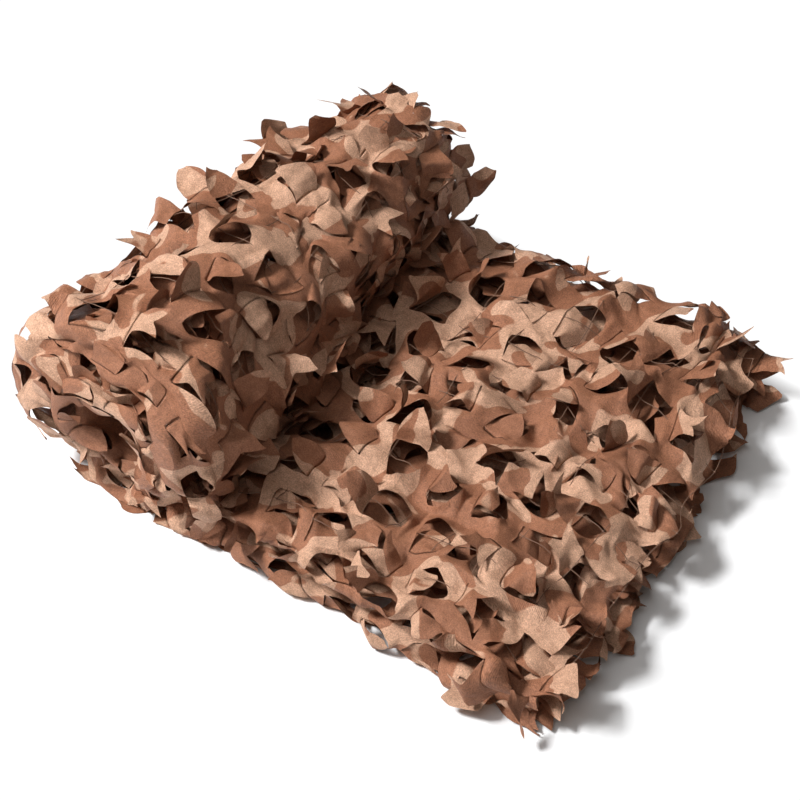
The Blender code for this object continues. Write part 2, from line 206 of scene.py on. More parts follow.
def kept_in(points):
    """The same points, with what strays far out or into the floor eased back."""
    for axis, most in enumerate(LEAF_REACH):
        past = points[:, axis] - cad_high[axis]
        points[:, axis] = np.where(past > 0, cad_high[axis] + most * np.tanh(past / most), points[:, axis])
        past = cad_low[axis] - points[:, axis]
        points[:, axis] = np.where(past > 0, cad_low[axis] - most * np.tanh(past / most), points[:, axis])
    low_down = points[:, 2] < FLOOR_NEAR
    room = FLOOR_NEAR - FLOOR_GAP
    points[low_down, 2] = FLOOR_GAP + room * np.exp((points[low_down, 2] - FLOOR_NEAR) / room)
    return points


# Half widths of the four cuts that the die makes, from the leaf's root to its tip, as shares of
# the root's, with how far its tip line falls at the sides and at the middle.
CUTS = (
    {"name": "axe blade", "wide": (1.00, 1.08, 1.16, 1.14, 0.92), "sides": 0.18, "middle": 0.00},
    {"name": "pointed", "wide": (1.00, 1.12, 1.02, 0.70, 0.14), "sides": 0.10, "middle": 0.00},
    {"name": "fishtail", "wide": (1.00, 0.96, 0.92, 1.02, 1.26), "sides": 0.00, "middle": 0.32},
    {"name": "hooked", "wide": (1.00, 1.10, 1.06, 0.86, 0.36), "sides": 0.20, "middle": 0.00},
)
cut_sides = np.array([np.polyfit(np.linspace(0, 1, 5), cut["wide"], 4) for cut in CUTS])
cut_tips = np.array([(cut["sides"], cut["middle"]) for cut in CUTS])
LEAF_ROOT = 0.0160
LEAF_LENGTH = (0.0390, 0.0440)
LEAF_BEND, HOOK_BEND = 0.0050, 0.0080
LEAST_LATTICE = 0.0045

# The moods of a leaf, in degrees: its lift at the root, its curl along it and its kink at a crease
# across it. The open leaves of each layer have that layer's own lift.
MOODS = (
    {"name": "half sprung", "lift": (12, 36), "curl": (-30, 12), "kink": (-30, 16)},
    {"name": "open", "lift": None, "curl": (-50, 35), "kink": (-80, 35)},
    {"name": "thrown back", "lift": (95, 140), "curl": (-10, 35), "kink": (0, 45)},
    {"name": "pushed through", "lift": (-40, -5), "curl": (-15, 25), "kink": (-30, 30)},
)
LEAST_CURL = 0.013
RIM_RISE = 0.0104
# Near a bend of the strip, leaves lift and kink less by the first share, and by the second follow
# the bent cloth instead of springing straight.
CALM_WIDTH = 0.055
CALM_LIFT, CALM_FOLLOW = 0.45, 0.85
LEAF_CRUMPLE, LEAF_CRUMPLE_SIZE = 0.0028, 0.019


def deep(value):
    """Numbers held one to a cell, ready to meet the grid of points of each cell's leaf."""
    return value[:, :, None]


def half_width(q, widths):
    """Half the width of a cut as a share of its root's, at a share q of its length."""
    total = widths[0]
    for factor in widths[1:]:
        total = total * q + factor
    return total


def tip_line(p, point, falls):
    """How far out the tip of a cut reaches, for p from -1 to 1 across it."""
    return 1 - falls[0] * np.abs(p - point) ** 1.4 - falls[1] * (1 - np.abs(p)) ** 1.2


def bent_stretch(begin, finish, angle, curl):
    """How far ahead and up an evenly bent stretch of a leaf goes, in shares of its length."""
    ahead = (np.sin(angle + curl * finish) - np.sin(angle + curl * begin)) / curl
    up = (np.cos(angle + curl * begin) - np.cos(angle + curl * finish)) / curl
    return ahead, up


def turned(x, y, angle):
    c, s = np.cos(angle), np.sin(angle)
    return x * c - y * s, x * s + y * c


def leaf_temper(pick, manner, bent):
    """Each leaf's lift, curl and kink in radians; near a bend of the strip they are calmer."""
    mood = pick(17, 0, 1) * (1 - manner["calm"][1] * bent)
    chosen = [mood < share for share in manner["moods"]]

    def by_mood(key, part):
        values = [pick(key, *(one[part] or manner["arch"])) for one in MOODS]
        return np.radians(np.select(chosen, values[:3], values[3]))

    calmer = 1 - CALM_LIFT * bent
    return by_mood(9, "lift") * calmer, by_mood(10, "curl") + LEAST_CURL, by_mood(11, "kink") * calmer


def lattice_faces(count, around, rings):
    """Faces from ring to ring round each gap."""
    k = np.arange(around)
    r = np.arange(rings)[:, None]
    a, b = r * around + k, r * around + (k + 1) % around
    quads = np.stack([a, a + around, b + around, b], -1).reshape(-1, 4)
    return (np.arange(count)[:, None, None] * (rings + 1) * around + quads[None]).reshape(-1, 4)


def leaf_grids(count, around, rings, fine):
    """The point numbers of each leaf, which shares its root's points with the ring at its gap."""
    ring_points = (rings + 1) * around
    leaf_points = fine * (fine + 1)
    root_points = np.concatenate([[0], around - 1 - np.arange(fine)])
    cell = np.arange(count)[:, None]
    own_points = count * ring_points + cell * leaf_points + np.arange(leaf_points)
    return np.concatenate([cell * ring_points + root_points, own_points], 1)


def cloth_piece(name, points, faces, rest_u, rest_t):
    """A mesh of the cloth, which keeps each point's place on the uncut cloth for its print."""
    used, faces = np.unique(faces, return_inverse=True)
    faces = faces.reshape(-1, 4)
    mesh = bpy.data.meshes.new(name)
    mesh.from_pydata(points[used].tolist(), [], faces.tolist())
    flat = np.stack([rest_u, rest_t], 1)[used][faces.ravel()]
    mesh.uv_layers.new(name="cloth").data.foreach_set("uv", flat.astype(np.float32).ravel())
    mesh.polygons.foreach_set("use_smooth", np.ones(len(faces), bool))
    mesh.validate()
    piece = bpy.data.objects.new(name, mesh)
    bpy.context.collection.objects.link(piece)
    return piece


def cut_cloth(name, columns, rows, pitch, start, fine, rings, place, facing, manner, trim=None):
    """A stretch of the cloth: so many rows and columns of leaves, cut flat and laid in place.

    facing is +1 or -1, the side of the cloth that its leaves spring to; fine is the number of
    faces along a leaf, and rings the number from a gap to the middle of the lattice round it.
    manner holds the layer's own ways: arch, the lift of its open leaves in degrees; moods, the
    chances below which a leaf is in the first, second or third mood; rough, the share of its
    slack; and calm, where across the net leaves lie calmer, and how firmly they keep there to
    the first mood.
    """
    cells = [(column, row) for row in rows for column in columns]
    column, row = (np.array(value, float)[:, None] for value in zip(*cells))
    count, around = len(cells), 4 * fine
    cell_across = row_line(row + 1) - row_line(row)
    mid_u = start + (column + 0.5 + 0.5 * (row % 2)) * pitch
    mid_t = row_line(row) + cell_across / 2

    def pick(key, low, high):
        """A value for each cell between low and high, a fixed draw for each key."""
        return span(low, high, chance(column * 2 + row % 2, row, 60, key))

    # the cut round each leaf, from one end of its root round the tip to the other
    kind = np.floor(pick(1, 0, 3.999)).astype(int)
    quarter = np.floor(pick(2, 0, 3.999))
    quarter = np.where(pick(18, 0, 1) < 0.6, np.where(quarter < 2, 0, 2), quarter)
    swing = np.radians(pick(3, -17, 17)) + quarter * math.pi / 2
    size = pick(4, 0.90, 1.06)
    root = LEAF_ROOT * size
    length = pick(5, *LEAF_LENGTH) * size
    hooks = pick(6, -1, 1)
    bend = np.where(kind == 3, np.sign(hooks) * HOOK_BEND, hooks * LEAF_BEND)
    point = pick(7, -0.9, 0.9)
    back = pick(19, -0.0215, -0.0175)
    widths = [cut_sides[kind, power] for power in range(5)]
    falls = [cut_tips[kind, side] for side in range(2)]
    step = np.arange(fine) / fine
    p = np.concatenate([-np.ones(fine), -1 + 2 * step, np.ones(fine), 1 - 2 * step])[None]
    q = np.concatenate([step, np.ones(fine), 1 - step, np.zeros(fine)])[None]
    q = q * tip_line(p, point, falls)
    hole_x = back + q * length
    hole_y = p * root * half_width(q, widths) + bend * np.sin(math.pi * np.minimum(q, 1))
    hole_x, hole_y = turned(hole_x, hole_y, swing)
    hole_x = np.clip(hole_x, LEAST_LATTICE - pitch / 2, pitch / 2 - LEAST_LATTICE)
    hole_y = np.clip(hole_y, LEAST_LATTICE - ROW_WIDTH / 2, ROW_WIDTH / 2 - LEAST_LATTICE)

    # the lattice round it, in rings out to the border of its cell, with the gap's rim raised
    corner = np.arange(around)[None] + (quarter * fine).astype(int)
    line, along = (corner // fine) % 4, (corner % fine) / fine - 0.5
    border_x = np.choose(line, [along, 0.5 + 0 * along, -along, -0.5 + 0 * along]) * pitch
    border_y = np.choose(line, [-0.5 + 0 * along, along, 0.5 + 0 * along, -along]) * ROW_WIDTH
    out = (np.arange(rings + 1) / rings)[None, :, None]
    ring_x = hole_x[:, None] * (1 - out) + border_x[:, None] * out
    ring_y = hole_y[:, None] * (1 - out) + border_y[:, None] * out
    rising, falling = np.sin(math.pi * step / 2), np.cos(math.pi * step / 2)
    window = np.concatenate([rising, np.ones(fine), falling, 0 * step])
    round_cut = np.arange(around) / fine
    swells = [np.sin(math.pi * np.clip((round_cut - at) / 1.5 + 0.5, 0, 1)) for at in (0.6, 1.5, 2.4)]
    rim = sum(pick(20 + number, -1, 1) * swell[None] for number, swell in enumerate(swells)) * window
    ring_z = (RIM_RISE * manner["rough"] * rim)[:, None] * (1 - out) ** 1.4
    gape = (pick(24, 0.01, 0.10) * window)[:, None] * (1 - out)

    # the leaf, bent up at its root, curled, creased across, cupped and twisted
    bent = np.exp(-(((mid_t - manner["calm"][0]) / CALM_WIDTH) ** 2))
    lift, curl, kink = (deep(angle) for angle in leaf_temper(pick, manner, bent))
    crease, slant = deep(pick(13, 0.28, 0.60)), deep(pick(14, -0.35, 0.35))
    twist, cup = deep(np.radians(pick(15, -24, 24))), deep(pick(16, -0.0030, 0.0030))
    back, length, swing = deep(back), deep(length), deep(swing)
    p = np.linspace(-1, 1, fine + 1)[None, None, :]
    q = np.linspace(0, 1, fine + 1)[None, 1:, None]
    q = q * tip_line(p, deep(point), [deep(fall) for fall in falls])
    fold_at = np.clip(crease + slant * p, 0.12, 0.9)
    before_fold = bent_stretch(0, np.minimum(q, fold_at), lift, curl)
    after_fold = bent_stretch(fold_at, np.maximum(q, fold_at), lift + kink, curl)
    ahead, up = (length * (first + second) for first, second in zip(before_fold, after_fold))
    heading = lift + curl * q + kink * smooth(fold_at - 0.15, fold_at + 0.15, q)
    sideways = p * deep(root) * half_width(q, [deep(w) for w in widths])
    sideways = sideways + deep(bend) * np.sin(math.pi * q)
    rest_x, rest_y = back + q * length, sideways
    off = sideways * np.sin(twist * q) + cup * (p**2 - 0.4) * np.sin(math.pi * np.minimum(q, 0.8))
    rough_leaf = facets(rest_x + deep(mid_u), rest_y + deep(mid_t), LEAF_CRUMPLE_SIZE, 15)
    off = off + LEAF_CRUMPLE * rough_leaf * np.minimum(2 * q, 1)
    leaf_x, leaf_z = back + ahead - off * np.sin(heading), up + off * np.cos(heading)
    leaf_x, leaf_y = turned(leaf_x, sideways * np.cos(twist * q), swing)
    rest_x, rest_y = turned(rest_x, rest_y, swing)

    # every point, first in the uncut cloth and then as it has sprung
    widen = deep(cell_across / ROW_WIDTH)

    def joined(ring, leaf, middle):
        return np.concatenate([(deep(middle) + ring).ravel(), (deep(middle) + leaf).ravel()])

    rest_u, rest_t = joined(ring_x, rest_x, mid_u), joined(ring_y * widen, rest_y * widen, mid_t)
    now_u = joined(ring_x * (1 + gape), leaf_x, mid_u)
    now_t = joined(ring_y * (1 + gape) * widen, leaf_y * widen, mid_t)
    height = np.concatenate([ring_z.ravel(), leaf_z.ravel()])

    # faces of the lattice and then of the leaves
    ring_faces = lattice_faces(count, around, rings)
    ids = leaf_grids(count, around, rings, fine)
    grid = np.arange((fine + 1) ** 2).reshape(fine + 1, fine + 1)
    leaf_quads = np.stack([grid[:-1, :-1], grid[:-1, 1:], grid[1:, 1:], grid[1:, :-1]], -1)
    leaf_quads = leaf_quads.reshape(-1, 4)
    leaf_faces = ids[:, leaf_quads].reshape(-1, 4)

    # what lies past a cut edge is drawn back to it, a leaf with its root past it is gone, and so is
    # a face of the lattice that is all past it
    ring_total = count * (rings + 1) * around
    if trim is not None:
        cut_u, cut_t = trim(rest_u, rest_t)
        shift_u, shift_t = cut_u - rest_u, cut_t - rest_t
        outside = (np.abs(shift_u) + np.abs(shift_t)) > 1e-9
        ring_faces = ring_faces[~outside[ring_faces].all(1)]
        lost = outside[ids[:, : fine + 1]].mean(1) > 0.5
        leaf_faces = leaf_faces[~np.repeat(lost, len(leaf_quads))]
        for values, shift in ((rest_u, shift_u), (rest_t, shift_t), (now_u, shift_u), (now_t, shift_t)):
            values[:ring_total] += shift[:ring_total]
    faces = np.concatenate([ring_faces, leaf_faces])

    # neighbouring cells share the points on their common border; where fine is odd, only those in
    # the same row do, and the staggered rows meet edge to edge without being joined
    order = np.arange(len(rest_u)) - ring_total
    key = np.stack([rest_u, rest_t, np.where(order < 0, -1, order)], 1).round(6)
    _, first, again = np.unique(key, axis=0, return_index=True, return_inverse=True)
    faces = again.reshape(-1)[faces]

    # a leaf springs straight from its root, whichever way the cloth round it bends
    points, _ = laid(place, facing, manner["rough"], now_u, now_t, height)
    root_x, root_y = turned(back, 0 * back, swing)
    base, ways = laid(place, facing, manner["rough"], deep(mid_u) + root_x, deep(mid_t) + root_y * widen, 0)
    offsets = leaf_x - root_x, (leaf_y - root_y) * widen, leaf_z
    straight = base + sum(way * offset[..., None] for way, offset in zip(ways, offsets))
    held = smooth(0.0, 0.35, np.broadcast_to(q, leaf_z.shape)) * deep(1 - CALM_FOLLOW * bent)
    points[ring_total:] = span(points[ring_total:], straight.reshape(-1, 3), held.reshape(-1, 1))

    # faces point to the side that the leaves spring to
    if facing > 0:
        faces = faces[:, ::-1]
    return cloth_piece(name, kept_in(points[first]), faces, rest_u[first], rest_t[first])


def add_node(tree, kind, **values):
    """A new node, its inputs set to values or joined to other nodes' outputs."""
    node = tree.nodes.new(kind)
    for label, value in values.items():
        socket = node.inputs[label.replace("_", " ")]
        if hasattr(value, "is_output"):
            tree.links.new(value, socket)
        else:
            socket.default_value = value
    return node


# A common two-tone print, light tan and brown in smooth blots, on thin satin polyester with a
# crinkled weave.
def cloth_material(name, tan, brown):
    material = bpy.data.materials.new(name)
    material.use_nodes = True
    tree = material.node_tree
    shader = tree.nodes["Principled BSDF"]
    uv = tree.nodes.new("ShaderNodeUVMap")
    uv.uv_map = "cloth"

    def noise(**values):
        return add_node(tree, "ShaderNodeTexNoise", Vector=uv.outputs["UV"], **values).outputs["Fac"]

    def two_tone(value, begin, finish, first, second):
        ramp = add_node(tree, "ShaderNodeValToRGB", Fac=value)
        for stop, position, colour in zip(ramp.color_ramp.elements, (begin, finish), (first, second)):
            stop.position = position
            stop.color = (*colour, 1)
        return ramp.outputs["Color"]

    # the print, its uneven wear and its grain
    blots = noise(Scale=19.0, Detail=1.6, Roughness=0.40, Distortion=0.6)
    wear = noise(Scale=160.0, Detail=6.0, Roughness=0.7)
    grain = noise(Scale=700.0, Detail=3.0, Roughness=0.7)
    ink = two_tone(blots, 0.474, 0.484, tan, brown)
    shade = two_tone(wear, 0.30, 0.70, (0.74, 0.70, 0.66), (1.18, 1.18, 1.18))
    tone = tree.nodes.new("ShaderNodeMix")
    tone.data_type = "RGBA"
    tone.blend_type = "MULTIPLY"
    tone.inputs["Factor"].default_value = 1.0
    tree.links.new(ink, tone.inputs["A"])
    tree.links.new(shade, tone.inputs["B"])
    speck = add_node(
        tree, "ShaderNodeMapRange", Value=grain, From_Min=0.30, From_Max=0.70, To_Min=0.58, To_Max=1.40)
    cloth = tree.nodes.new("ShaderNodeVectorMath")
    cloth.operation = "SCALE"
    tree.links.new(tone.outputs["Result"], cloth.inputs[0])
    tree.links.new(speck.outputs["Result"], cloth.inputs["Scale"])
    tree.links.new(cloth.outputs["Vector"], shader.inputs["Base Color"])

    # a satin gloss, duller where it's worn
    gloss = add_node(tree, "ShaderNodeMapRange", Value=wear, To_Min=0.46, To_Max=0.66)
    tree.links.new(gloss.outputs["Result"], shader.inputs["Roughness"])
    shader.inputs["Specular IOR Level"].default_value = 0.30

    # fine crinkles, with the ribs of the weave on them
    crinkle = noise(Scale=330.0, Detail=6.0, Roughness=0.65, Distortion=1.2)
    crumple = add_node(tree, "ShaderNodeBump", Height=crinkle, Strength=1.0, Distance=0.0016)
    weave = add_node(
        tree, "ShaderNodeTexWave", Vector=uv.outputs["UV"], Scale=230.0, Distortion=1.6, Detail=2.0)
    ribs = add_node(tree, "ShaderNodeBump", Height=weave.outputs["Fac"], Normal=crumple.outputs["Normal"],
                    Strength=0.5, Distance=0.0005)
    tree.links.new(ribs.outputs["Normal"], shader.inputs["Normal"])
    return material


printed_cloth = cloth_material("printed polyester", (0.545, 0.325, 0.218), (0.312, 0.135, 0.074))


def finish_cloth(piece):
    piece.data.materials.append(printed_cloth)
    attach(piece, "root")
    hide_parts("camouflage_net")


# Rows are counted across the whole net, nine to a layer and one in each of the three folds.
LAST_LINE = row_line(np.array(4.0 * ROWS + 3))
END_RAGGED, SIDE_RAGGED = 0.008, 0.006


def pad_edges(u, t):
    """Moves what lies beyond the cut edges on to them: the strip's end and the net's sides."""
    end = PAD_END + 0.012 + END_RAGGED * waves(0 * u, t, 0.06, 91, 4)
    sides = SIDE_RAGGED * waves(u, 0 * t, 0.05, 92, 4)
    return np.minimum(u, end), np.clip(t, sides - 0.010, LAST_LINE + 0.016 + sides)


PAD_COLUMNS = range(-2, PAD_CELLS + 1)
NOWHERE = (9.0, 0.0)
COVERED = {"arch": (20, 50), "moods": (0.4, 0.8, 0.85), "rough": 0.8, "calm": NOWHERE}
for number, rows, facing in ((0, range(-1, 9), -1), (1, range(9, 19), 1), (2, range(19, 29), -1)):
    covered = cut_cloth(
        f"net_layer_{number}", PAD_COLUMNS, rows, PITCH, PAD_START, fine=8, rings=3, place=on_pad,
        facing=facing, manner=COVERED, trim=pad_edges)
    finish_cloth(covered)

# ---- The flat part: upper layer
# The last of the four layers of the same cloth, joined to the one beneath by a fold, and the one
# that shows. Nothing lies on it, so its leaves stand and curl freely.
OPEN = {"arch": (34, 76), "moods": (0.24, 0.66, 0.84), "rough": 1.0, "calm": (2.035, 0.92)}
upper = cut_cloth(
    "net_upper_layer", PAD_COLUMNS, range(29, 40), PITCH, PAD_START, fine=14, rings=5, place=on_pad,
    facing=1, manner=OPEN, trim=pad_edges)
finish_cloth(upper)

# ---- The roll: outer turn
# The rest of the strip, wound up with its lowest layer outside. The winding is loose, so the roll
# is not quite round, and it is thicker at one end.
ROLL_X, ROLL_Z, ROLL_SKEW = -0.1930, 0.1085, 0.045
ROLL_LENGTH = 0.488
NEAR_GIRTH, FAR_GIRTH = 1.20, 0.815
TURN_SHARE, INNERMOST = 0.44, 0.3
ROLL_SLACK = 0.0045
ROLL_LUMPS = (0.0045, 0.0040)
# The roll's radius at every 45 degrees, from the floor up its outer side, over and down its inner.
OUTLINE_RADIUS = np.array((0.1170, 0.1200, 0.1215, 0.1155, 0.1105, 0.1100, 0.1060, 0.1060, 0.1170))
# The folds at the far end are open loops. At the near end one wide loop stands out past them, and
# the folds further in are drawn in.
FAR_LOOP = 0.018
LOOP_REACH, LOOP_SHIFT, LOOP_BULGE, LOOP_DEPTH = 0.056, 0.024, 0.034, 1.20
DRAWN_DEPTH, DRAWN_LENGTH = 0.34, 0.026
ROLL_MEAN = 0.112
ROLL_CELLS = 12
ROLL_PITCH = 2 * math.pi * ROLL_MEAN / ROLL_CELLS
ROLL_COLUMNS = range(-1, ROLL_CELLS - 1)


def roll_radius(angle):
    """The roll's outline, as its radius at this angle from the floor."""
    degrees = np.degrees(angle) % 360
    step = np.clip((degrees // 45).astype(int), 0, 7)
    share = smooth(0, 1, degrees / 45 - step)
    return span(OUTLINE_RADIUS[step], OUTLINE_RADIUS[step + 1], share)


def turns_in(angle):
    """How many turns in the strip lies at this angle: it steps in near the floor."""
    turns = angle / (2 * math.pi)
    return smooth(0.76, 1.06, turns) + smooth(1.76, 2.06, turns) + smooth(2.76, 3.06, turns)


def wide_loop(angle, t, y):
    """How deep the near end's wide loop lies, where it lies along the roll, and what is in it."""
    past = t - (RUN_WIDTH + FOLD_ARC / 2 + LOOP_SHIFT)
    bend = np.clip(past / LOOP_REACH, -1, 1) * math.pi / 2
    inside = smooth(0.0, 0.10, np.abs(past) - LOOP_REACH)
    depth = LOOP_DEPTH * (1 - 0.5 * np.minimum(turns_in(angle), 1)) * (1 + np.sin(bend)) / 2
    depth = np.where(past > 0, span(depth, 0.25, inside), depth)
    along = np.maximum(np.abs(past) - LOOP_REACH, 0) - LOOP_BULGE * np.maximum(np.cos(bend), 0) ** 0.7
    along = along - (RUN_WIDTH / 2 + FOLD_ARC / 2 + LOOP_SHIFT - LOOP_REACH)
    along = np.where(past > 0, span(along, y, smooth(0.12, 0.22, past)), along)
    return depth, along, np.abs(past) < RUN_WIDTH / 2


def in_roll(angle, t):
    """Where the net lies in the roll, for an angle from the floor and a place across the net."""
    y, up = folded(t)
    depth = (up - LOWEST) / (4 * LAYER_STEP)
    y = y + np.sign(y) * np.maximum(np.abs(y) - RUN_WIDTH / 2, 0) * (FAR_LOOP / FOLD_RADIUS - 1)
    loop_depth, loop_y, in_loop = wide_loop(angle, t, y)
    drawn_in = smooth(0.15, 0.24, -y) * (t > 1.5 * PERIOD)
    depth = np.where(in_loop, loop_depth, depth - DRAWN_DEPTH * drawn_in) + turns_in(angle)
    y = np.where(in_loop, loop_y, y + DRAWN_LENGTH * drawn_in)

    # the turns aren't flush at the ends, and the near end is drawn in where it lies on the floor
    loose = 0.006 * waves(angle, depth * 2, 1.6, 71) + 0.014 * np.clip(depth - 0.4, 0, 1) * (y < 0)
    y = y * (ROLL_LENGTH / RUN_WIDTH + loose / (RUN_WIDTH / 2))
    y = y + smooth(0.12, 0.26, -y) * (0.026 * smooth(0.2, 1.0, np.cos(angle)) - 0.006)

    # out from the axis: the uneven outline, level on the floor, and thinner turn by turn
    share = y / ROLL_LENGTH + 0.5
    level = smooth(0.80, 0.95, np.cos(angle))
    uneven = ROLL_LUMPS[0] * np.sin(3 * angle + 14 * y) + ROLL_LUMPS[1] * np.sin(5 * angle - 23 * y + 1)
    inward = 1 - TURN_SHARE * depth
    tight = INNERMOST * np.exp(np.minimum(inward - INNERMOST, 0) / INNERMOST)
    inward = np.where(inward < INNERMOST, tight, inward)
    girth = roll_radius(angle) * span(NEAR_GIRTH, FAR_GIRTH, share)
    radius = (girth + (uneven - ROLL_SLACK) * (1 - level)) * inward
    x = ROLL_X - ROLL_SKEW * y - radius * np.sin(angle)
    z = ROLL_Z * (1.04 - 0.08 * share) - radius * np.cos(angle)
    return np.stack([x, y, z], -1) - CENTRE


def outer_turn(u, t):
    """Where the outer turn lies, for a distance wound round the roll."""
    return in_roll(u / ROLL_MEAN, t)


def roll_edges(u, t):
    return u, np.maximum(t, -0.008 + SIDE_RAGGED * waves(u, 0 * t, 0.05, 93, 4))


WOUND = {"arch": (24, 60), "moods": (0.24, 0.64, 0.78), "rough": 0.9, "calm": (0.545, 0.2)}
outer = cut_cloth(
    "net_roll_outer", ROLL_COLUMNS, range(-1, 12), ROLL_PITCH, 0.0, fine=13, rings=4, place=outer_turn,
    facing=-1, manner=WOUND, trim=roll_edges)
finish_cloth(outer)

# ---- The roll: second and third layers
# The next two layers of the same cloth, wound up inside the outer one and seen through its gaps.
# The outer one presses their leaves nearly flat.
PRESSED = {"arch": (5, 25), "moods": (0.5, 0.8, 0.8), "rough": 0.6, "calm": NOWHERE}
for name, rows, facing in (("net_roll_second", range(12, 20), 1), ("net_roll_third", range(20, 29), -1)):
    beneath = cut_cloth(
        name, ROLL_COLUMNS, rows, ROLL_PITCH, 0.0, fine=7, rings=2, place=outer_turn, facing=facing,
        manner=PRESSED)
    finish_cloth(beneath)

# ---- The roll: inner turns at its ends
# Further in, the folds that join the layers show at the roll's two ends as a spiral of loops of
# the same cloth. Only these loops are made, a few rows wide.
INNER = {"arch": (15, 50), "moods": (0.3, 0.7, 0.7), "rough": 0.8, "calm": (0.530, 0.2)}
TURNS = 2.05
TURN_RADIUS, LEAST_TURN = 0.113, 0.12
angles = np.linspace(0, TURNS * 2 * math.pi, 600)
for name, rows, middle, first_turn, facing in (
    ("net_near_loops", range(7, 12), 0.32, 0.88, -1),
    ("net_near_inner_loops", range(27, 32), 0.30, 0.02, -1),
    ("net_far_loops", range(17, 22), 0.375, 0.05, 1),
):
    radius = TURN_RADIUS * np.maximum(1 - TURN_SHARE * (turns_in(angles) + middle), LEAST_TURN)
    travelled = np.concatenate([[0], np.cumsum((radius[1:] + radius[:-1]) / 2 * np.diff(angles))])
    begin = np.interp(first_turn * 2 * math.pi, angles, travelled)
    columns = int((travelled[-1] - begin) / PITCH)

    def inner_turn(u, t, travelled=travelled):
        return in_roll(np.interp(u, travelled, angles), t)

    loops = cut_cloth(
        name, range(columns), rows, PITCH, begin, fine=8, rings=3, place=inner_turn, facing=facing,
        manner=INNER)
    finish_cloth(loops)

# ---- The backing mesh
# The cloth is tied to a mesh of thin twisted polyester cords behind it, knotted where they cross,
# and seen as fine lines across the gaps. It's made for the two layers that show.
cord_material = bpy.data.materials.new("mesh cord")
cord_material.use_nodes = True
cord_shader = cord_material.node_tree.nodes["Principled BSDF"]
cord_shader.inputs["Base Color"].default_value = (0.17, 0.09, 0.055, 1)
cord_shader.inputs["Roughness"].default_value = 0.7

cord_tree = bpy.data.node_groups.new("knotted cords", "GeometryNodeTree")
cord_inputs = {"Lines": "Geometry", "Cord Width": "Float", "Knot Width": "Float", "Cord": "Material"}
for label, kind in cord_inputs.items():
    cord_tree.interface.new_socket(label, in_out="INPUT", socket_type="NodeSocket" + kind)
cord_tree.interface.new_socket("Mesh", in_out="OUTPUT", socket_type="NodeSocketGeometry")


def half(socket):
    node = add_node(cord_tree, "ShaderNodeMath")
    node.operation = "MULTIPLY"
    cord_tree.links.new(socket, node.inputs[0])
    node.inputs[1].default_value = 0.5
    return node.outputs[0]


def cord_node(kind, **values):
    return add_node(cord_tree, "GeometryNode" + kind, **values)


given = add_node(cord_tree, "NodeGroupInput").outputs
strand = cord_node("CurvePrimitiveCircle", Resolution=6, Radius=half(given["Cord Width"]))
run = cord_node("MeshToCurve", Mesh=given["Lines"])
tube = cord_node("CurveToMesh", Curve=run.outputs[0], Profile_Curve=strand.outputs[0])
knot = cord_node("MeshIcoSphere", Radius=half(given["Knot Width"]), Subdivisions=1)
tied = cord_node("InputNamedAttribute", Name="knot")
tied.data_type = "BOOLEAN"
knots = cord_node("InstanceOnPoints", Points=given["Lines"], Instance=knot.outputs[0])
cord_tree.links.new(next(out for out in tied.outputs if out.enabled), knots.inputs["Selection"])
joined = cord_node("JoinGeometry")
cord_tree.links.new(tube.outputs[0], joined.inputs[0])
cord_tree.links.new(knots.outputs[0], joined.inputs[0])
real = cord_node("RealizeInstances", Geometry=joined.outputs[0])
finish = cord_node("SetMaterial", Geometry=real.outputs[0], Material=given["Cord"])
add_node(cord_tree, "NodeGroupOutput", Mesh=finish.outputs[0])

CORD_WIDTH, KNOT_WIDTH = 0.0009, 0.0026
BEHIND = 0.0016
CORD_FACES = 8


def backing(name, place, facing, rough, along, across):
    """Cords behind a layer: one along the strip at each of across, one across it at each of along."""
    points, edges, tied = [], [], []
    lines = [(at, along, True) for at in across] + [(at, across, False) for at in along]
    for at, over, lengthways in lines:
        stretches = [np.linspace(a, b, CORD_FACES + 1)[:-1] for a, b in zip(over[:-1], over[1:])]
        spots = np.concatenate(stretches + [over[-1:]])
        ends = (spots, 0 * spots + at) if lengthways else (0 * spots + at, spots)
        begin = sum(len(part) for part in points)
        points.append(kept_in(laid(place, facing, rough, *ends, -BEHIND)[0]) + (0, 0, FLOOR_GAP))
        edges += [(begin + step, begin + step + 1) for step in range(len(spots) - 1)]
        tied += [lengthways and step % CORD_FACES == 0 for step in range(len(spots))]
    mesh = bpy.data.meshes.new(name)
    mesh.from_pydata(np.concatenate(points).tolist(), edges, [])
    mesh.attributes.new("knot", "BOOLEAN", "POINT").data.foreach_set("value", tied)
    piece = bpy.data.objects.new(name, mesh)
    bpy.context.collection.objects.link(piece)
    shaper = piece.modifiers.new("cords", "NODES")
    shaper.node_group = cord_tree
    sockets = cord_tree.interface.items_tree
    inputs = {socket.name: socket.identifier for socket in sockets if socket.in_out == "INPUT"}
    shaper[inputs["Cord Width"]] = CORD_WIDTH
    shaper[inputs["Knot Width"]] = KNOT_WIDTH
    shaper[inputs["Cord"]] = cord_material
    bpy.context.view_layer.update()
    made = bpy.data.meshes.new_from_object(piece.evaluated_get(bpy.context.evaluated_depsgraph_get()))
    piece.modifiers.remove(shaper)
    piece.data = made
    bpy.data.meshes.remove(mesh)
    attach(piece, "root")
    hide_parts("camouflage_net")


CORD_AT = 0.22
backing(
    "net_backing_upper", on_pad, 1, OPEN["rough"],
    along=PAD_START + (np.arange(-1, PAD_CELLS + 1) + CORD_AT) * PITCH,
    across=row_line(np.arange(30.0, 39.0)) + ROW_WIDTH / 2)
backing(
    "net_backing_roll", outer_turn, -1, WOUND["rough"],
    along=(np.arange(ROLL_CELLS) + CORD_AT) * ROLL_PITCH,
    across=row_line(np.arange(float(ROWS))) + ROW_WIDTH / 2)

